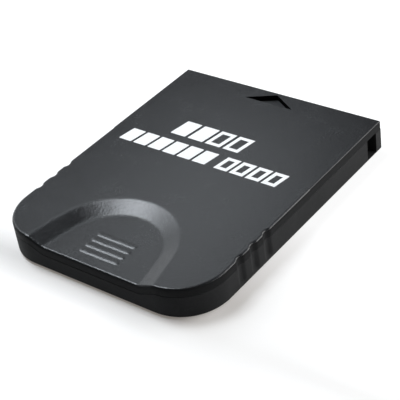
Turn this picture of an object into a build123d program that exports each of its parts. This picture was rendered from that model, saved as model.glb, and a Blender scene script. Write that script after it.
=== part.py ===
from build123d import *
import math
import os

# A console memory card: a moulded lid and tray closed over a circuit board with edge contacts.
# Millimetres, +Z up. The origin is at the middle of the underside, and +Y points to the plug end.

# Card body
card_length = 52.0
card_width = 40.5
card_thickness = 5.7
lid_skirt = 1.45  # lid edge, from the top face down to the parting line
side_wall = 1.2
tray_floor = 1.1
lid_plate = 1.0
grip_corner_radius = 8.0
plug_corner_radius = 0.25
grip_edge_radius = 0.45  # soft upper edge round the grip
plug_edge_radius = 0.22  # crisp upper edge of the part that slides into the slot
base_edge_chamfer = 0.5  # lower edge of the tray
seam_chamfer = 0.12  # upper edge of the tray, which makes the parting line a fine groove
plug_part_length = 21.5  # part of the lid that slides into the slot
plug_inset = 0.06  # the lid stands back this far on each side of that part

# Thumb recess in the lid, open at the grip end
recess_depth = 1.19
recess_radius = 11.6
recess_ramp = 3.0  # width of the sloping border
recess_centre_setback = 4.5  # centre of the round end, from the grip end
recess_flare = 11.0  # degrees by which the two sides open towards the grip end
recess_rim_radius = 2.6
recess_foot_radius = 2.6

# Ridges on the floor of the recess
ridge_count = 4
ridge_length = 8.1
ridge_width = 1.25
ridge_height = 0.15
ridge_root = 0.1  # how far a ridge is sunk into the floor
ridge_pitch = 1.42
ridge_setback = 2.7  # first ridge, from the grip end

# Finger grooves on both sides of the grip
groove_count = 3
groove_width = 2.4
groove_depth = 0.36
groove_base_gap = 0.05  # the grooves end this far above the chamfered lower edge
groove_run_out = 0.8  # height over which they rise from there to their full depth
groove_pitch = 3.45
groove_setback = 11.3  # first groove, from the grip end

# Insert arrow in the lid, pointing to the plug end
arrow_width = 9.8
arrow_height = 2.9
arrow_depth = 1.0
arrow_setback = 0.65  # tip of the arrow, from the plug end

# Connector mouth, the solid corners beside it and the latch notches in them
mouth_width = 31.0
mouth_lead_in = 0.3  # chamfer on the sill of the mouth
corner_block_length = 6.0
notch_length = 2.8
notch_depth = 1.6
notch_setback = 1.75  # from the plug end
notch_floor = 0.6  # plastic left under a notch

# Circuit board
board_thickness = 1.0
board_lid_gap = 0.35  # board, below the parting line
board_gap = 0.4  # room round the board
board_setback = 1.4  # tongue, back from the plug end
board_recess_gap = 1.4  # board, back from the thumb recess
tongue_gap = 0.6  # room on each side of the tongue in the mouth
tongue_chamfer = 0.8
board_corner_chamfer = 0.5

# Pins of the lid and posts of the tray
pin_diameter = 2.0  # over the corners of its six sides
pin_clearance = 0.03  # all round a pin in its post
pin_tip_gap = 0.2  # below the tip of a pin
post_diameter = 4.4
post_bore_floor = 0.2  # plastic left under the bore, above the tray floor
board_hole_clearance = 0.2  # all round a pin in the board
plug_post_inset = 7.75  # from the side of the card
plug_post_setback = 11.15  # from the plug end
grip_post_inset = 4.75
grip_post_setback = 12.0  # from the grip end

# Lip of the tray that keeps the two shells in line
lip_width = 0.45
lip_clearance = 0.06
lip_end_gap = 1.5  # from the finger grooves and from the corner blocks

# Ledges along the tray's side walls, which carry the board
ledge_width = 1.5

# Edge contacts under the tongue
contact_count = 12
contact_pitch = 2.2
contact_width = 1.5
contact_length = 5.0
contact_thickness = 0.05
contact_setback = 0.3  # from the end of the tongue

# Chips under the board. Their leads are on the two sides that face along X.
memory_length = 11.8
memory_width = 8.0
memory_lead_count = 14
memory_lead_pitch = 0.55
memory_lead_width = 0.24
controller_length = 3.9
controller_width = 9.9
controller_lead_count = 8
controller_lead_pitch = 1.27
controller_lead_width = 0.42
chip_thickness = 1.0
chip_standoff = 0.1
chip_edge_gap = 1.2  # first row of chips, from the grip edge of the board
chip_gap = 1.3  # between the two chips, lead to lead
lead_thickness = 0.13
lead_reach = 0.8
lead_shoulder = 0.18
lead_foot = 0.4
lead_root = 0.3  # held in the chip's body
chip_taper = 8.0  # degrees, on the sides of a chip
chip_dot_diameter = 0.9
chip_dot_depth = 0.08
chip_dot_inset = 1.2  # from both sides of the body

# Surface-mount parts under the board
passive_count = 4
passive_pitch = 4.0
passive_row_gap = 1.6
passive_terminal = 0.35  # length of each soldered end
passive_terminal_lip = 0.03
capacitor_size = (2.0, 1.25, 0.9)
resistor_size = (1.6, 0.8, 0.45)

# Places worked out from the sizes above
half_width = card_width / 2
plug_end = card_length / 2
grip_end = -card_length / 2
parting = card_thickness - lid_skirt
ceiling = card_thickness - lid_plate
plug_start = plug_end - plug_part_length
block_start = plug_end - corner_block_length
inner_half_width = half_width - side_wall
recess_centre = grip_end + recess_centre_setback
groove_first = grip_end + groove_setback
groove_last = groove_first + (groove_count - 1) * groove_pitch
board_top = parting - board_lid_gap
board_height = board_top - board_thickness  # underside of the board
board_front = recess_centre + recess_radius + board_recess_gap
board_back = block_start - board_gap
tongue_end = plug_end - board_setback
board_half_width = inner_half_width - board_gap
tongue_half_width = mouth_width / 2 - tongue_gap
cut_margin = 1.0  # how far a cutting solid runs past what it cuts
tolerance = 0.001
plug_post_y = plug_end - plug_post_setback
grip_post_y = grip_end + grip_post_setback
plug_posts = [(side * (half_width - plug_post_inset), plug_post_y) for side in (-1, 1)]
grip_posts = [(side * (half_width - grip_post_inset), grip_post_y) for side in (-1, 1)]
memory_span = memory_length + 2 * lead_reach
controller_span = controller_length + 2 * lead_reach
chip_row = memory_span + chip_gap + controller_span
memory_x = (memory_span - chip_row) / 2
controller_x = (chip_row - controller_span) / 2
chip_row_depth = max(memory_width, controller_width)
chip_row_y = board_front + chip_edge_gap + chip_row_depth / 2
chip_row_back = chip_row_y + chip_row_depth / 2
capacitor_y = chip_row_back + passive_row_gap + capacitor_size[1] / 2
resistor_y = capacitor_y + capacitor_size[1] / 2 + passive_row_gap + resistor_size[1] / 2


def prism(face, low, high):
    # A flat face drawn at Z = 0, raised between two heights.
    return extrude(Pos(0, 0, low) * face, high - low, dir=(0, 0, 1))


def span(low, high):
    # A box between two opposite corners.
    size = [b - a for a, b in zip(low, high)]
    middle = [(a + b) / 2 for a, b in zip(low, high)]
    return Pos(*middle) * Box(*size)


def upright(place, diameter, low, high):
    # A round bar parallel to Z.
    return Pos(*place) * prism(Circle(diameter / 2), low, high)


def groove_line(centre, depth):
    # One finger groove on the right side, seen from above: equal arcs that meet in line.
    # With no depth it is the same stretch of the straight side.
    quarter = groove_width / 4
    start = (half_width, centre + 2 * quarter)
    upper = (half_width - depth / 2, centre + quarter)
    bottom = (half_width - depth, centre)
    lower = (half_width - depth / 2, centre - quarter)
    end = (half_width, centre - 2 * quarter)
    if depth == 0:
        return [Line(start, upper), Line(upper, bottom), Line(bottom, lower), Line(lower, end)]
    return [
        TangentArc(start, upper, tangent=(0, -1)),
        TangentArc(bottom, upper, tangent=(0, 1)),
        TangentArc(bottom, lower, tangent=(0, -1)),
        TangentArc(end, lower, tangent=(0, 1)),
    ]


def card_outline(depth, back):
    # The plan of the card from the grip end to a given Y, with finger grooves of a given depth.
    edges = [Line((0, back), (half_width, back))]
    here = back
    for index in reversed(range(groove_count)):
        centre = groove_first + index * groove_pitch
        edges += [Line((half_width, here), (half_width, centre + groove_width / 2))]
        edges += groove_line(centre, depth)
        here = centre - groove_width / 2
    corner_x = half_width - grip_corner_radius
    corner_y = grip_end + grip_corner_radius
    edges += [Line((half_width, here), (half_width, corner_y))]
    edges += [TangentArc((half_width, corner_y), (corner_x, grip_end), tangent=(0, -1))]
    edges += [Line((corner_x, grip_end), (0, grip_end))]
    edges += [edge.mirror(Plane.YZ) for edge in edges]
    return Wire(edges)


def plain_plan():
    # The plan of the card without the finger grooves.
    plan = Rectangle(card_width, card_length)
    return fillet(plan.vertices().group_by(Axis.Y)[0], grip_corner_radius)


def inner_plan():
    # The plan of the hollow between the side walls, up to the corner blocks.
    low = grip_end + side_wall
    plan = Pos(0, (low + block_start) / 2) * Rectangle(2 * inner_half_width, block_start - low)
    corners = plan.vertices().group_by(Axis.Y)[0]
    return fillet(corners, grip_corner_radius - side_wall)


def recess_outline(radius, height):
    # The round end and the two flared sides of the recess, run on past the grip end.
    flare = math.radians(recess_flare)
    side_x = radius * math.cos(flare)
    side_y = recess_centre + radius * math.sin(flare)
    mouth_y = grip_end - cut_margin
    mouth_x = side_x + (side_y - mouth_y) * math.tan(flare)
    edges = [
        Line((mouth_x, mouth_y), (side_x, side_y)),
        ThreePointArc((side_x, side_y), (0, recess_centre + radius), (-side_x, side_y)),
        Line((-side_x, side_y), (-mouth_x, mouth_y)),
        Line((-mouth_x, mouth_y), (mouth_x, mouth_y)),
    ]
    return Pos(0, 0, height) * Face(Wire(edges))


def recess_cutter(drop):
    # The dished recess, lowered by a given height. Its sloping border runs on above the rim.
    top = card_thickness - drop
    run_on = lid_skirt + cut_margin
    rim_radius = recess_radius + run_on * recess_ramp / recess_depth
    foot = recess_outline(recess_radius - recess_ramp, top - recess_depth)
    rim = recess_outline(rim_radius, top + run_on)
    return loft([foot, rim], ruled=True)


def hollow():
    # The space inside the closed card. Its ceiling follows the thumb recess.
    return prism(inner_plan(), tray_floor, ceiling) - recess_cutter(lid_plate)


def runs_along(edge, outline):
    # True for an edge that lies over the outline, whatever its height.
    samples = [edge @ place for place in (0.0, 0.35, 0.65, 1.0)]
    return all(outline.distance_to(Vertex(point.X, point.Y, 0)) < tolerance for point in samples)


def level_edges(solid, height):
    # The edges whose middle lies at a given height.
    return solid.edges().filter_by_position(Axis.Z, height - tolerance, height + tolerance)


def plug_corner_cuts():
    # What the round upright corners of the plug end take off square ones.
    inner = (half_width - plug_corner_radius, plug_end - plug_corner_radius)
    reach = plug_corner_radius + cut_margin
    square = Pos(inner[0] + reach / 2, inner[1] + reach / 2) * Rectangle(reach, reach)
    cut = prism(square - Pos(*inner) * Circle(plug_corner_radius), -cut_margin, card_thickness)
    return [cut, mirror(cut, Plane.YZ)]


def lid_grip():
    # The grip part of the lid: thumb recess, soft upper edge and a skirt that dips with the recess.
    outline = card_outline(groove_depth, plug_start)
    recess_floor = card_thickness - recess_depth
    low = recess_floor - lid_skirt
    grip = prism(Face(outline), low - cut_margin, card_thickness) - recess_cutter(0)
    for height, radius in ((recess_floor, recess_foot_radius), (card_thickness, recess_rim_radius)):
        border = [edge for edge in level_edges(grip, height) if not runs_along(edge, outline)]
        grip = fillet(border, radius)
    upper = grip.edges().filter_by_position(Axis.Z, recess_floor - tolerance, card_thickness + tolerance)
    upper = [edge for edge in upper if (edge @ 0.5).Y < plug_start - tolerance]
    grip = fillet([edge for edge in upper if runs_along(edge, outline)], grip_edge_radius)
    reach = half_width + cut_margin
    below = span((-reach, grip_end - cut_margin, low - 2 * cut_margin), (reach, plug_start, parting))
    return grip - (below - recess_cutter(lid_skirt))


def lid_plug():
    # The slimmer part of the lid that slides into the slot, with a crisp upper edge.
    half = half_width - plug_inset
    plan = Pos(0, (plug_start + plug_end) / 2) * Rectangle(2 * half, plug_part_length)
    plan = fillet(plan.vertices().group_by(Axis.Y)[-1], plug_corner_radius)
    plug = prism(plan, parting, card_thickness)
    upper = level_edges(plug, card_thickness)
    return fillet([edge for edge in upper if (edge @ 0.5).Y > plug_start + tolerance], plug_edge_radius)


def ridges():
    # Low ridges of a round section with domed ends, across the floor of the thumb recess.
    recess_floor = card_thickness - recess_depth
    radius = (ridge_width ** 2 / 4 + ridge_height ** 2) / (2 * ridge_height)
    straight = ridge_length - ridge_width
    bar = Cylinder(radius, straight, rotation=(0, 90, 0))
    bar += [Pos(end * straight / 2) * Sphere(radius) for end in (-1, 1)]
    low = radius - ridge_height - ridge_root
    ridge = bar & span((-ridge_length, -radius, low), (ridge_length, radius, radius))
    first = grip_end + ridge_setback
    sunk = recess_floor + ridge_height - radius
    return [Pos(0, first + index * ridge_pitch, sunk) * ridge for index in range(ridge_count)]


def arrow():
    # The insert arrow, a flat-bottomed triangle.
    tip = plug_end - arrow_setback
    base = tip - arrow_height
    corners = [(-arrow_width / 2, base), (arrow_width / 2, base), (0, tip)]
    return prism(Face(Wire.make_polygon(corners)), card_thickness - arrow_depth, card_thickness + cut_margin)


def lip(clearance):
    # The two strips of the tray's lip, or the room for them in the lid.
    low = groove_last + groove_width / 2 + lip_end_gap - clearance
    high = block_start - lip_end_gap + clearance
    outer = inner_half_width + lip_width + clearance
    top = ceiling - lip_clearance + clearance
    strip = span((inner_half_width - clearance, low, parting), (outer, high, top))
    return [strip, mirror(strip, Plane.YZ)]


def pin(place):
    # A six-sided pin of the lid, with the collar that holds the board or the post down.
    tip = tray_floor + post_bore_floor + pin_tip_gap
    bar = Pos(*place) * prism(RegularPolygon(pin_diameter / 2, 6), tip, ceiling + lid_plate / 2)
    return bar + upright(place, post_diameter, board_top, ceiling + lid_plate / 2)


def make_top_shell():
    shell = lid_grip() + lid_plug()
    shell = shell - hollow() - lip(lip_clearance) - arrow()
    return shell + ridges() + [pin(place) for place in plug_posts + grip_posts]


def tray_body():
    # The tray before it is hollowed. The finger grooves run out above its chamfered lower edge.
    groove_base = base_edge_chamfer + groove_base_gap
    groove_full = groove_base + groove_run_out
    foot = prism(plain_plan(), 0, groove_base)
    foot = chamfer(level_edges(foot, 0), base_edge_chamfer)
    outline = card_outline(groove_depth, plug_end)
    low = Pos(0, 0, groove_base) * Face(card_outline(0, plug_end))
    run_out = loft([low, Pos(0, 0, groove_full) * Face(outline)], ruled=True)
    body = foot + run_out + prism(Face(outline), groove_full, parting)
    body = body - recess_cutter(lid_skirt)
    seam_low = parting - recess_depth - tolerance
    seam = body.edges().filter_by_position(Axis.Z, seam_low, parting + tolerance)
    body = chamfer([edge for edge in seam if runs_along(edge, outline)], seam_chamfer)
    return body - plug_corner_cuts()


def connector_mouth():
    # The opening in the plug end that the slot's connector enters.
    half = mouth_width / 2
    start = block_start - cut_margin
    return span((-half, start, tray_floor), (half, plug_end + cut_margin, parting + cut_margin))


def latch_notches():
    # The pockets in both sides that the slot's latch drops into, closed below and by the lid above.
    high = plug_end - notch_setback
    inner = half_width - notch_depth
    outer = half_width + cut_margin
    notch = span((inner, high - notch_length, notch_floor), (outer, high, parting + cut_margin))
    return [notch, mirror(notch, Plane.YZ)]


def board_ledges():
    # A ledge along each side wall, under the edge of the board.
    inner = (inner_half_width - ledge_width, board_front, tray_floor / 2)
    outer = (inner_half_width + side_wall / 2, block_start + side_wall / 2, board_height)
    ledge = span(inner, outer)
    return [ledge, mirror(ledge, Plane.YZ)]


def post(place, top):
    return upright(place, post_diameter, tray_floor / 2, top)


def post_bore(place, top):
    return upright(place, pin_diameter + 2 * pin_clearance, tray_floor + post_bore_floor, top + cut_margin)


def make_bottom_shell():
    shell = tray_body() - hollow() - connector_mouth() - latch_notches()
    sill = level_edges(shell, tray_floor)
    sill = sill.filter_by(Axis.X).filter_by_position(Axis.Y, plug_end - tolerance, plug_end + tolerance)
    shell = chamfer(sill, mouth_lead_in)
    posts = [(place, board_height) for place in plug_posts] + [(place, board_top) for place in grip_posts]
    shell = shell + board_ledges() + lip(0) + [post(place, top) for place, top in posts]
    return shell - [post_bore(place, top) for place, top in posts]


def make_circuit_board():
    # The board, with a narrower tongue that reaches into the mouth.
    main = Rectangle(2 * board_half_width, board_back - board_front)
    main = Pos(0, (board_front + board_back) / 2) * chamfer(main.vertices(), board_corner_chamfer)
    tongue = Rectangle(2 * tongue_half_width, tongue_end - board_front)
    tongue = Pos(0, (board_front + tongue_end) / 2) * tongue
    tongue = chamfer(tongue.vertices().group_by(Axis.Y)[-1], tongue_chamfer)
    hole = Circle(pin_diameter / 2 + board_hole_clearance)
    plan = main + tongue - [Pos(*place) * hole for place in plug_posts]
    return prism(plan, board_height, board_top)


def make_contact(index):
    x = (index - (contact_count - 1) / 2) * contact_pitch
    y = tongue_end - contact_setback - contact_length / 2
    plan = Rectangle(contact_width, contact_length)
    return Pos(x, y) * prism(plan, board_height - contact_thickness, board_height)


def chip_body(length, width):
    # A moulded body whose sides slope away from the middle, hung below Z = 0 by its standoff.
    middle = -chip_standoff - chip_thickness / 2
    plan = Pos(0, 0, middle) * Rectangle(length, width)
    body = extrude(plan, chip_thickness / 2, taper=chip_taper)
    body += extrude(plan, chip_thickness / 2, dir=(0, 0, -1), taper=chip_taper)
    face = -chip_standoff - chip_thickness
    dot = Pos(chip_dot_inset - length / 2, chip_dot_inset - width / 2)
    return body - dot * prism(Circle(chip_dot_diameter / 2), face - cut_margin, face + chip_dot_depth)


def lead(width):
    # A gull-wing lead along +X from the side of a chip, with its foot against Z = 0.
    middle = -chip_standoff - chip_thickness / 2
    half = lead_thickness / 2
    bend = lead_reach - lead_foot
    corners = [
        (-lead_root, middle + half),
        (lead_shoulder, middle + half),
        (bend, 0),
        (lead_reach, 0),
        (lead_reach, -lead_thickness),
        (bend + half, -lead_thickness),
        (lead_shoulder + lead_thickness, middle - half),
        (-lead_root, middle - half),
    ]
    profile = Plane.XZ * Face(Wire.make_polygon(corners))
    return Pos(0, -width / 2) * extrude(profile, width, dir=(0, 1, 0))


def make_chip(length, width, lead_count, lead_pitch, lead_width):
    chip = chip_body(length, width)
    for index in range(lead_count):
        place = Pos(length / 2, (index - (lead_count - 1) / 2) * lead_pitch) * lead(lead_width)
        chip += [place, Rot(0, 0, 180) * place]
    return chip


def make_memory_chip():
    chip = make_chip(memory_length, memory_width, memory_lead_count, memory_lead_pitch, memory_lead_width)
    return Pos(memory_x, chip_row_y, board_height) * chip


def make_controller_chip():
    lead_size = (controller_lead_count, controller_lead_pitch, controller_lead_width)
    chip = make_chip(controller_length, controller_width, *lead_size)
    return Pos(controller_x, chip_row_y, board_height) * chip


def make_passive(size, index, y):
    # A surface-mount part: a body between two soldered ends.
    length, width, height = size
    lip_size = passive_terminal_lip
    end = Box(passive_terminal, width, height)
    shift = (length - passive_terminal) / 2
    part = Box(length - passive_terminal, width - 2 * lip_size, height - 2 * lip_size)
    part = part + Pos(shift, 0) * end + Pos(-shift, 0) * end
    x = (index - (passive_count - 1) / 2) * passive_pitch
    return Pos(x, y, board_height - height / 2) * part


def save(node, solid):
    export_step(solid, "parts/" + node + ".step")


os.makedirs("parts", exist_ok=True)
save("top_shell", make_top_shell())
save("bottom_shell", make_bottom_shell())
save("circuit_board", make_circuit_board())
for index in range(contact_count):
    save(f"contact_{index + 1:02d}", make_contact(index))
save("memory_chip", make_memory_chip())
save("controller_chip", make_controller_chip())
for index in range(passive_count):
    save(f"capacitor_{index + 1}", make_passive(capacitor_size, index, capacitor_y))
    save(f"resistor_{index + 1}", make_passive(resistor_size, index, resistor_y))
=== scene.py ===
import bpy
import math
from mathutils import Matrix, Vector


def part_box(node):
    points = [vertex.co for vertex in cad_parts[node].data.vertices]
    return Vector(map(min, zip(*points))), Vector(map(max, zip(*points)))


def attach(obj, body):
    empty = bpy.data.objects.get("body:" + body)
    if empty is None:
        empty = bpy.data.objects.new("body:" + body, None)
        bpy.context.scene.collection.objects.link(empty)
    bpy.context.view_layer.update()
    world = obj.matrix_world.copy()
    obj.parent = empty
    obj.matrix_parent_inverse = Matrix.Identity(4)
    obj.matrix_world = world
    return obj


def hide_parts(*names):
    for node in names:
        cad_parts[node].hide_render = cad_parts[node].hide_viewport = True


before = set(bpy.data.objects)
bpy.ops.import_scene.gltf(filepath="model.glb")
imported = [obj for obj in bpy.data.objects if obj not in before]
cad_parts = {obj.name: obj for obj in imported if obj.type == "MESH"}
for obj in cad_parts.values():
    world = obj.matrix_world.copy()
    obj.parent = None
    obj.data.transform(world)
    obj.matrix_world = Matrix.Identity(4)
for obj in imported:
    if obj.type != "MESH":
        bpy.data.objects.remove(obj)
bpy.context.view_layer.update()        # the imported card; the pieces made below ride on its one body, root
mm = 0.001               # the frame is in metres, and the sizes below are written in millimetres
scene = bpy.context.scene


# Small helpers for selecting and for edit mode

def pick(*things):
    bpy.ops.object.select_all(action="DESELECT")
    for thing in things:
        thing.select_set(True)
    bpy.context.view_layer.objects.active = things[0]


def editAll(thing):
    pick(thing)
    bpy.ops.object.mode_set(mode="EDIT")
    bpy.ops.mesh.select_all(action="SELECT")


def endEdit():
    bpy.ops.object.mode_set(mode="OBJECT")


def selectVerts(thing, wanted):
    bpy.ops.mesh.select_all(action="DESELECT")
    bpy.ops.object.mode_set(mode="OBJECT")
    for vert in thing.data.vertices:
        vert.select = wanted(vert.co)
    bpy.ops.object.mode_set(mode="EDIT")


def applyModifier(thing, kind, **settings):
    modifier = thing.modifiers.new(kind.lower(), kind)
    for key, value in settings.items():
        setattr(modifier, key, value)
    pick(thing)
    bpy.ops.object.modifier_apply(modifier=modifier.name)


# Shader tools: a wired socket that takes arithmetic, and a finish that makes the nodes

class Wire:
    def __init__(self, finish, socket):
        self.finish = finish
        self.socket = socket

    def maths(self, operation, first, second=0.0):
        return self.finish.node("ShaderNodeMath", {"operation": operation}, {0: first, 1: second})

    def __add__(self, other):
        return self.maths("ADD", self, other)

    def __radd__(self, other):
        return self.maths("ADD", other, self)

    def __sub__(self, other):
        return self.maths("SUBTRACT", self, other)

    def __rsub__(self, other):
        return self.maths("SUBTRACT", other, self)

    def __mul__(self, other):
        return self.maths("MULTIPLY", self, other)

    def __rmul__(self, other):
        return self.maths("MULTIPLY", other, self)

    def __abs__(self):
        return self.maths("ABSOLUTE", self)

    def __gt__(self, other):
        return self.maths("GREATER_THAN", self, other)

    def __lt__(self, other):
        return self.maths("LESS_THAN", self, other)


noiseBand = (0.3, 0.7)   # where nearly all values of a noise lie


class Finish:
    def __init__(self, name, tree=None, **constants):
        if tree is None:
            self.material = bpy.data.materials.new(name)
            self.material.use_nodes = True
            tree = self.material.node_tree
            self.shader = tree.nodes["Principled BSDF"]
            for socket, value in constants.items():
                self.shader.inputs[socket.replace("_", " ")].default_value = value
        self.tree = tree

    def node(self, kind, settings=None, sockets=None, out=0):
        made = self.tree.nodes.new(kind)
        for key, value in (settings or {}).items():
            setattr(made, key, value)
        for key, value in (sockets or {}).items():
            if isinstance(value, Wire):
                self.tree.links.new(value.socket, made.inputs[key])
            else:
                made.inputs[key].default_value = value
        return Wire(self, made.outputs[out])

    def feed(self, **wires):
        for socket, wire in wires.items():
            self.tree.links.new(wire.socket, self.shader.inputs[socket.replace("_", " ")])

    def place(self):
        return self.node("ShaderNodeTexCoord", out="Object")

    def axes(self):
        split = self.node("ShaderNodeSeparateXYZ", {}, {0: self.place()})
        return [Wire(self, socket) for socket in split.socket.node.outputs]

    def noise(self, size, detail=2.0, roughness=0.5, place=None):
        values = {"Vector": place or self.place(), "Scale": 1.0 / (size * mm), "Detail": detail,
                  "Roughness": roughness}
        return self.node("ShaderNodeTexNoise", {}, values, "Fac")

    def span(self, value, low, high, toLow=0.0, toHigh=1.0):
        limits = {"Value": value, "From Min": low, "From Max": high, "To Min": toLow, "To Max": toHigh}
        return self.node("ShaderNodeMapRange", {"clamp": True}, limits)

    def vary(self, noise, limits):       # the noise, spread between two limits
        return self.span(noise, *noiseBand, *limits)

    def fold(self, value, pitch):        # distance from the nearest whole pitch
        return self.node("ShaderNodeMath", {"operation": "PINGPONG"}, {0: value, 1: pitch / 2.0 * mm})

    def mix(self, share, first, second):
        def colour(value):
            return value if isinstance(value, Wire) else (*value, 1.0)
        values = {0: share, 6: colour(first), 7: colour(second)}
        return self.node("ShaderNodeMix", {"data_type": "RGBA"}, values, 2)

    def shown(self):                     # 1 on rays from the camera and through gloss or glass
        paths = self.node("ShaderNodeLightPath")
        rays = {socket.name: Wire(self, socket) for socket in paths.socket.node.outputs}
        return rays["Is Camera Ray"] + rays["Is Glossy Ray"] + rays["Is Transmission Ray"]

    def bump(self, height, depth, under=None):
        values = {"Strength": 1.0, "Distance": depth * mm, "Height": height}
        if under is not None:
            values["Normal"] = under
        return self.node("ShaderNodeBump", {}, values)


# Finishes

topLook = {
    "name": "grainedTop",
    "deep": (0.0080, 0.0084, 0.0092),
    "pale": (0.0120, 0.0126, 0.0136),
    "toneBand": (0.35, 0.65),
    "specular": 0.5,
    "roughness": (0.22, 0.28),
    "grainSize": 0.29,           # spark-eroded mould texture
    "grainDepth": 0.044,
    "fineSize": 0.12,
    "fineDepth": 0.003,
    "cloudSize": 6.0,            # slow drift in tone and gloss
}
sideLook = {
    "name": "mattSide",
    "deep": (0.0200, 0.0203, 0.0208),
    "pale": (0.0280, 0.0284, 0.0290),
    "toneBand": (0.35, 0.65),
    "specular": 0.04,
    "roughness": (0.44, 0.54),
    "grainSize": 0.30,
    "grainDepth": 0.012,
    "fineSize": 0.10,
    "fineDepth": 0.003,
    "cloudSize": 5.0,
}
skirtLook = {
    **sideLook,
    "name": "mattSkirt",
    "deep": (0.0095, 0.0098, 0.0102),
    "pale": (0.0140, 0.0143, 0.0148),
}
# Painted shade: the walls of the insert arrow are coloured near black and reflect nothing, standing for
# the shade in the recess.
paintedShadeWallLook = {
    **sideLook,
    "name": "paintedShadeArrowWalls",
    "deep": (0.0022, 0.0022, 0.0023),
    "pale": (0.0034, 0.0034, 0.0035),
    "specular": 0.0,
    "roughness": (0.68, 0.78),
}
# Painted light: the floor of the insert arrow is coloured paler than the top, so that it shows as bright
# as the sheen on the top, which the arrow's walls keep from it.
paintedSheenFloorLook = {
    **sideLook,
    "name": "paintedSheenArrowFloor",
    "deep": (0.036, 0.037, 0.038),
    "pale": (0.048, 0.049, 0.050),
}


def mouldedPlastic(look):
    finish = Finish(look["name"], Specular_IOR_Level=look["specular"])
    cloud = finish.noise(look["cloudSize"], 3.0)
    grain = finish.noise(look["grainSize"], 2.0, 0.6)
    fine = finish.noise(look["fineSize"], 1.0)
    tone = finish.span(cloud * 0.6 + grain * 0.4, *look["toneBand"])
    finish.feed(
        Base_Color=finish.mix(tone, look["deep"], look["pale"]),
        Roughness=finish.vary(cloud * 0.5 + fine * 0.5, look["roughness"]),
        Normal=finish.bump(fine, look["fineDepth"], finish.bump(grain, look["grainDepth"])),
    )
    return finish.material


inkLook = {
    "white": (0.86, 0.855, 0.85),
    "thin": (0.74, 0.735, 0.73),
    "toneBand": (0.34, 0.5),
    "roughness": (0.46, 0.58),
    "grainSize": 0.22,
    "grainDepth": 0.006,
}


def printInk(look):
    finish = Finish("whiteInk", Specular_IOR_Level=0.4)
    grain = finish.noise(look["grainSize"], 2.0, 0.6)
    finish.feed(
        Base_Color=finish.mix(finish.span(grain, *look["toneBand"]), look["thin"], look["white"]),
        Roughness=finish.vary(grain, look["roughness"]),
        Normal=finish.bump(grain, look["grainDepth"]),
    )
    return finish.material


boardLook = {
    "mask": (0.012, 0.085, 0.034),
    "maskDeep": (0.009, 0.066, 0.027),
    "trace": (0.026, 0.150, 0.060),
    "core": (0.36, 0.29, 0.15),          # bare laminate on the cut edges
    "roughness": (0.28, 0.40),
    "coreRougher": 0.4,
    "pitch": 2.2,                        # of the tracks
    "trackWidth": 0.5,
    "trackSoft": 0.06,
    "trackDepth": 0.03,
    "weave": 0.55,
    "weaveDepth": 0.012,
    "cloudSize": 1.6,
}


def boardFinish(look):
    finish = Finish("greenBoard", Specular_IOR_Level=0.5)
    x, y = finish.axes()[:2]
    lane = finish.fold(x + look["pitch"] * 0.5 * mm, look["pitch"])
    half = look["trackWidth"] / 2.0
    soft = look["trackSoft"]
    track = finish.span(lane, (half - soft) * mm, (half + soft) * mm, 1.0, 0.0)
    threads = finish.fold(x, look["weave"]) * finish.fold(y, look["weave"])
    weave = threads * (4.0 / (look["weave"] * mm) ** 2)          # 1 where two threads cross
    normal = finish.node("ShaderNodeTexCoord", out="Normal")
    cut = abs(finish.node("ShaderNodeSeparateXYZ", {}, {0: normal}, 2)) < 0.5
    cloud = finish.noise(look["cloudSize"], 2.0)
    face = finish.mix(track, finish.mix(cloud, look["maskDeep"], look["mask"]), look["trace"])
    finish.feed(
        Base_Color=finish.mix(cut, face, look["core"]),
        Roughness=finish.vary(cloud, look["roughness"]) + cut * look["coreRougher"],
        Normal=finish.bump(track, look["trackDepth"], finish.bump(weave, look["weaveDepth"])),
    )
    return finish.material


giltLook = {
    "bright": (0.90, 0.66, 0.27),
    "worn": (0.72, 0.50, 0.19),
    "toneBand": (0.35, 0.65),
    "roughness": (0.20, 0.38),
    "grainSize": 0.16,
    "stretch": 0.05,                     # rubbed along Y by insertion
    "depth": 0.002,
}


def giltFinish(look):
    finish = Finish("hardGilt", Metallic=1.0)
    along = {"Vector": finish.place(), "Scale": (1.0, look["stretch"], 1.0)}
    line = finish.noise(look["grainSize"], place=finish.node("ShaderNodeMapping", {}, along))
    finish.feed(
        Base_Color=finish.mix(finish.span(line, *look["toneBand"]), look["worn"], look["bright"]),
        Roughness=finish.vary(line, look["roughness"]),
        Normal=finish.bump(line, look["depth"]),
    )
    return finish.material


tin = (0.66, 0.66, 0.64)
memoryLook = {"name": "memoryPackage", "node": "memory_chip", "body": 11.8}
controllerLook = {"name": "controllerPackage", "node": "controller_chip", "body": 3.9}
packageLook = {
    "resin": (0.012, 0.012, 0.013),
    "resinPale": (0.020, 0.020, 0.021),
    "tinDull": (0.50, 0.50, 0.49),
    "roughness": (0.5, 0.62),
    "leadSmoother": 0.22,
    "grainSize": 0.14,
    "grainDepth": 0.008,
}


def packageFinish(chip, look):
    finish = Finish(chip["name"], Specular_IOR_Level=0.35)
    low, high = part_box(chip["node"])
    x = finish.axes()[0]
    lead = abs(x - (low.x + high.x) / 2.0) > chip["body"] / 2.0 * mm
    grain = finish.noise(look["grainSize"], 2.0, 0.6)
    resin = finish.mix(grain, look["resin"], look["resinPale"])
    finish.feed(
        Base_Color=finish.mix(lead, resin, finish.mix(grain, look["tinDull"], tin)),
        Metallic=lead,
        Roughness=finish.vary(grain, look["roughness"]) - lead * look["leadSmoother"],
        Normal=finish.bump(grain, look["grainDepth"]),
    )
    return finish.material


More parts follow.
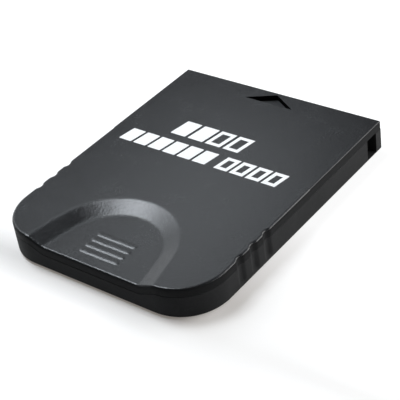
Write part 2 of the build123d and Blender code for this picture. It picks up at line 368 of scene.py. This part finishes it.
capacitorLook = {
    "name": "tanCeramic",
    "body": (0.30, 0.20, 0.11),
    "bodyDeep": (0.24, 0.155, 0.085),
    "length": 2.0,
}
resistorLook = {
    "name": "blackGlaze",
    "body": (0.016, 0.016, 0.018),
    "bodyDeep": (0.010, 0.010, 0.011),
    "length": 1.6,
}
chipPart = {
    "pitch": 4.0,
    "cap": 0.35,                         # length of a tinned end
    "roughness": (0.34, 0.46),
    "grainSize": 0.12,
    "grainDepth": 0.006,
}


def chipPartFinish(look, part):
    finish = Finish(look["name"], Specular_IOR_Level=0.5)
    x = finish.axes()[0]
    away = finish.fold(x + part["pitch"] / 2.0 * mm, part["pitch"])     # from the middle of a part
    cap = away > (look["length"] / 2.0 - part["cap"]) * mm
    grain = finish.noise(part["grainSize"], 2.0, 0.6)
    finish.feed(
        Base_Color=finish.mix(cap, finish.mix(grain, look["bodyDeep"], look["body"]), tin),
        Metallic=cap,
        Roughness=finish.vary(grain, part["roughness"]),
        Normal=finish.bump(grain, part["grainDepth"]),
    )
    return finish.material


def dress(start, material):
    for name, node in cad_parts.items():
        if name.startswith(start):
            node.data.materials.clear()
            node.data.materials.append(material)


dress("circuit_board", boardFinish(boardLook))
dress("contact_", giltFinish(giltLook))
dress("memory_chip", packageFinish(memoryLook, packageLook))
dress("controller_chip", packageFinish(controllerLook, packageLook))
dress("capacitor_", chipPartFinish(capacitorLook, chipPart))
dress("resistor_", chipPartFinish(resistorLook, chipPart))
print("finishes ready")


# The two mouldings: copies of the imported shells, merged, with a small radius on every sharp edge

edgeSpec = {
    "merge": 0.0005,
    "flat": 0.4,                 # degrees between faces that become one
    "radius": 0.05,
    "sharp": 38.0,               # degrees at an edge that gets the radius
    "smooth": 40.0,              # degrees at an edge that is shaded smooth
    "weight": 60,
}
lidShell = {
    "name": "lid_moulding", "node": "top_shell", "slot": "lid_plastic",
    "upright": 0.62,             # faces with a lower normal are matt
    # the region of the insert arrow, whose walls get painted shade and whose floor a painted sheen
    "well": {                    # the insert arrow
        "low": (-5.3, 21.8), "high": (5.3, 25.6), "shallow": 0.08, "deep": 1.05, "level": 0.8,
    },
}
trayShell = {
    "name": "tray_moulding", "node": "bottom_shell", "slot": "tray_plastic",
    "weld": 0.002,               # takes out the hairline faces that the edge radius leaves
}


def moulding(spec, *finishes):
    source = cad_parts[spec["node"]]
    shell = bpy.data.objects.new(spec["name"], source.data.copy())
    scene.collection.objects.link(shell)
    editAll(shell)
    bpy.ops.mesh.remove_doubles(threshold=edgeSpec["merge"] * mm)
    bpy.ops.mesh.dissolve_limited(angle_limit=math.radians(edgeSpec["flat"]))
    endEdit()
    applyModifier(shell, "BEVEL", width=edgeSpec["radius"] * mm, segments=2, limit_method="ANGLE",
                  angle_limit=math.radians(edgeSpec["sharp"]), use_clamp_overlap=True)
    if "weld" in spec:
        editAll(shell)
        bpy.ops.mesh.remove_doubles(threshold=spec["weld"] * mm)
        bpy.ops.mesh.dissolve_degenerate(threshold=spec["weld"] * mm)
        endEdit()
    pick(shell)
    bpy.ops.object.shade_smooth_by_angle(angle=math.radians(edgeSpec["smooth"]))
    applyModifier(shell, "WEIGHTED_NORMAL", keep_sharp=True, weight=edgeSpec["weight"])
    shell.data.materials.clear()
    for finish in finishes:
        shell.data.materials.append(finish)
    for face in shell.data.polygons:
        face.material_index = 0
    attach(shell, "root")
    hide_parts(spec["node"])
    return shell


def inWell(well, spot, top):
    depth = (top - spot.z) / mm
    inside = all(low < place / mm < high for low, place, high in zip(well["low"], spot, well["high"]))
    return inside and well["shallow"] < depth < well["deep"]


def shareFaces(shell, spec):             # 0 top, 1 skirt, 2 walls and 3 floor of the arrow
    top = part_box(spec["node"])[1].z
    for face in shell.data.polygons:
        face.material_index = int(face.normal.z < spec["upright"])
        # the walls of the insert arrow take the painted shade and its floor the painted sheen
        if inWell(spec["well"], face.center, top):
            face.material_index = 3 if face.normal.z > spec["well"]["level"] else 2


lidLooks = (topLook, skirtLook, paintedShadeWallLook, paintedSheenFloorLook)
lid = moulding(lidShell, *[mouldedPlastic(look) for look in lidLooks])
shareFaces(lid, lidShell)
tray = moulding(trayShell, mouldedPlastic(sideLook))
print("mouldings", len(lid.data.polygons), len(tray.data.polygons))


# Print: a plain gauge of slanted blocks in two rows

gauge = {
    "thickness": 0.02,
    "sunk": 0.008,
    "slant": 10.0,               # degrees
    "corner": 0.16,
    "stroke": 0.7,               # of a hollow block
    "rows": [                    # each group counts its filled and its hollow blocks
        {"left": -10.0, "low": 7.5, "width": 3.05, "height": 4.2, "gap": 0.62,
         "groups": [(2, 2)], "break": 0.0},
        {"left": -17.2, "low": 2.3, "width": 2.62, "height": 3.5, "gap": 0.5,
         "groups": [(6, 0), (0, 4)], "break": 1.4},
    ],
}


def gaugeBlock(left, low, width, height, filled):
    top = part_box("top_shell")[1].z
    stroke = 0.0 if filled else gauge["stroke"]
    wide = (width - stroke) * mm           # a hollow block starts from the middle of its outline
    tall = (height - stroke) * mm
    bpy.ops.object.select_all(action="DESELECT")
    bpy.ops.mesh.primitive_plane_add(size=1.0)
    block = bpy.context.active_object
    editAll(block)
    bpy.ops.transform.resize(value=(wide, tall, 1.0))
    bpy.ops.transform.translate(value=((left + width / 2) * mm, (low + height / 2) * mm, 0.0))
    selectVerts(block, lambda co: co.y > (low + height / 2) * mm)
    bpy.ops.transform.translate(value=(math.tan(math.radians(gauge["slant"])) * tall, 0.0, 0.0))
    bpy.ops.mesh.select_all(action="SELECT")
    bpy.ops.transform.translate(value=(0.0, 0.0, top - gauge["sunk"] * mm))
    if filled:
        bpy.ops.mesh.bevel(offset=gauge["corner"] * mm, segments=4, affect="VERTICES")
        endEdit()
        applyModifier(block, "SOLIDIFY", thickness=gauge["thickness"] * mm, offset=1.0)
        return block
    bpy.ops.mesh.delete(type="ONLY_FACE")
    bpy.ops.mesh.select_all(action="SELECT")
    rise = (0.0, 0.0, gauge["thickness"] * mm)
    bpy.ops.mesh.extrude_edges_move(TRANSFORM_OT_translate={"value": rise})
    endEdit()
    applyModifier(block, "SOLIDIFY", thickness=stroke * mm, offset=0.0, use_even_offset=True)
    editAll(block)
    bpy.ops.mesh.normals_make_consistent(inside=False)
    endEdit()
    return block


def gaugePrint(material):
    blocks = []
    for row in gauge["rows"]:
        left = row["left"]
        for filledCount, hollowCount in row["groups"]:
            for index in range(filledCount + hollowCount):
                filled = index < filledCount
                blocks.append(gaugeBlock(left, row["low"], row["width"], row["height"], filled))
                left += row["width"] + row["gap"]
            left += row["break"]
    pick(*blocks)
    bpy.ops.object.join()
    piece = bpy.context.active_object
    piece.name = "lid_print"
    piece.data.materials.append(material)
    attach(piece, "root")


gaugePrint(printInk(inkLook))
print("print ready")


# Studio: camera, floor, lamps and world

def turned(azimuth, elevation):          # degrees
    turn = Matrix.Rotation(math.radians(azimuth), 4, "Z")
    return turn @ Matrix.Rotation(math.radians(90.0 - elevation), 4, "X")


cameraSpec = {
    "position": (0.11113, -0.12282, 0.11835),
    "azimuth": 41.87,
    "elevation": 35.65,
    "roll": -8.79,
    "lens": 111.19,
    "sensor": 36.0,
    "clipStart": 0.005,
}


def makeCamera(spec):
    data = bpy.data.cameras.new("photo_camera")
    data.lens = spec["lens"]
    data.sensor_width = spec["sensor"]
    data.clip_start = spec["clipStart"]
    camera = bpy.data.objects.new("photo_camera", data)
    scene.collection.objects.link(camera)
    roll = Matrix.Rotation(math.radians(spec["roll"]), 4, "Z")
    aim = turned(spec["azimuth"], spec["elevation"]) @ roll
    camera.matrix_world = Matrix.Translation(spec["position"]) @ aim
    scene.camera = camera


# Painted shadow on the floor: by the near right corner and along the front edge the lift is low and
# warm, so the object's real shadow shows there, deepened and warmed by painted shadow; elsewhere a high
# lift keeps the floor white.
floorSpec = {
    "size": 3.0,
    "corner": (0.022, -0.019, 0.0),      # the shadow is deepest by this corner and fades out around it
    "near": 1.0,
    "far": 22.0,
    "edge": -25.5,                       # and it follows the front edge
    "edgeNear": 0.5,
    "edgeFar": 5.5,
    "paintedShadowColour": (0.74, 0.73, 0.72),
    "paintedShadowLift": (0.18, 0.165, 0.15),
    "farColour": (0.30, 0.30, 0.30),
    "farLift": (0.80, 0.80, 0.80),
}


def makeFloor(spec):
    bpy.ops.object.select_all(action="DESELECT")
    bpy.ops.mesh.primitive_plane_add(size=spec["size"])
    floor = bpy.context.active_object
    floor.name = "floor"
    finish = Finish("paperFloor", Specular_IOR_Level=0.0, Roughness=0.9, Emission_Strength=1.0)
    reach = {0: finish.place(), 1: spec["corner"]}
    away = finish.node("ShaderNodeVectorMath", {"operation": "DISTANCE"}, reach, "Value")
    y = finish.axes()[1]
    ahead = finish.span(abs(y - spec["edge"] * mm), spec["edgeNear"] * mm, spec["edgeFar"] * mm)
    # clear is 0 in the painted shadow by the corner and the front edge and 1 outside it
    clear = finish.span(away, spec["near"] * mm, spec["far"] * mm) * ahead
    lift = finish.mix(clear, spec["paintedShadowLift"], spec["farLift"])
    finish.feed(
        Base_Color=finish.mix(clear, spec["paintedShadowColour"], spec["farColour"]),
        Emission_Color=finish.mix(finish.shown(), (0.0, 0.0, 0.0), lift),
    )
    floor.data.materials.append(finish.material)


coolLight = (0.885, 0.945, 1.0)
plainLight = (1.0, 0.995, 0.985)
lampSpecs = [        # angles in degrees, the level is the radiance, far is the distance in metres
    {"name": "key", "azimuth": 180.0, "elevation": 64.0, "width": 22.0, "height": 22.0, "far": 0.45,
     "level": 11.0, "colour": coolLight},
    {"name": "strip", "azimuth": 173.0, "elevation": 43.0, "width": 18.0, "height": 22.0, "far": 0.45,
     "level": 3.3, "colour": coolLight},
    {"name": "back", "azimuth": 159.0, "elevation": 19.0, "width": 30.0, "height": 18.0, "far": 0.45,
     "level": 0.9, "colour": coolLight},
    {"name": "rim", "azimuth": 68.0, "elevation": 45.0, "width": 44.0, "height": 25.0, "far": 0.45,
     "level": 0.9, "colour": coolLight},
    {"name": "side", "azimuth": 38.0, "elevation": 20.0, "width": 60.0, "height": 38.0, "far": 0.2,
     "level": 3.6, "colour": plainLight},
]
sheenSpec = {        # a softbox that lies level over the rear left, mirrored in the flat top
    "name": "sheen", "place": (-0.0515, 0.0555, 0.070), "size": (0.054, 0.077),
    "level": 1.25, "colour": coolLight,
}


def areaLamp(spec, size, matrix):
    data = bpy.data.lights.new(spec["name"], "AREA")
    data.shape = "RECTANGLE"
    data.size, data.size_y = size
    data.energy = spec["level"] * 4.0 * size[0] * size[1]
    data.color = spec["colour"]
    lamp = bpy.data.objects.new(spec["name"], data)
    scene.collection.objects.link(lamp)
    lamp.matrix_world = matrix


def makeLamp(spec):
    size = [2.0 * spec["far"] * math.tan(math.radians(spec[side]) / 2.0) for side in ("width", "height")]
    aim = turned(spec["azimuth"] + 90.0, spec["elevation"])
    areaLamp(spec, size, aim @ Matrix.Translation((0.0, 0.0, spec["far"])))


worldSpec = {
    "low": (0.22, 0.22, 0.225),
    "high": (0.06, 0.06, 0.063),
    "highFrom": 0.6,                     # sine of the elevation
    "horizon": (0.90, 0.92, 0.95),       # a white band that ends between these degrees
    "from": 8.0,
    "to": 18.0,
}


def makeWorld(spec):
    world = bpy.data.worlds.new("studio")
    world.use_nodes = True
    scene.world = world
    finish = Finish("studio", tree=world.node_tree)
    sky = finish.node("ShaderNodeTexCoord", out="Generated")
    rise = finish.node("ShaderNodeSeparateXYZ", {}, {0: sky}, 2)
    light = finish.mix(finish.span(rise, 0.0, spec["highFrom"]), spec["low"], spec["high"])
    above = finish.span(rise, math.sin(math.radians(spec["from"])), math.sin(math.radians(spec["to"])))
    colour = finish.mix(finish.shown(), light, finish.mix(above, spec["horizon"], light))
    background = world.node_tree.nodes["Background"]
    world.node_tree.links.new(colour.socket, background.inputs["Color"])


makeCamera(cameraSpec)
makeFloor(floorSpec)
for lampSpec in lampSpecs:
    makeLamp(lampSpec)
areaLamp(sheenSpec, sheenSpec["size"], Matrix.Translation(sheenSpec["place"]))
makeWorld(worldSpec)
scene.view_settings.view_transform = "Standard"
print("studio ready")
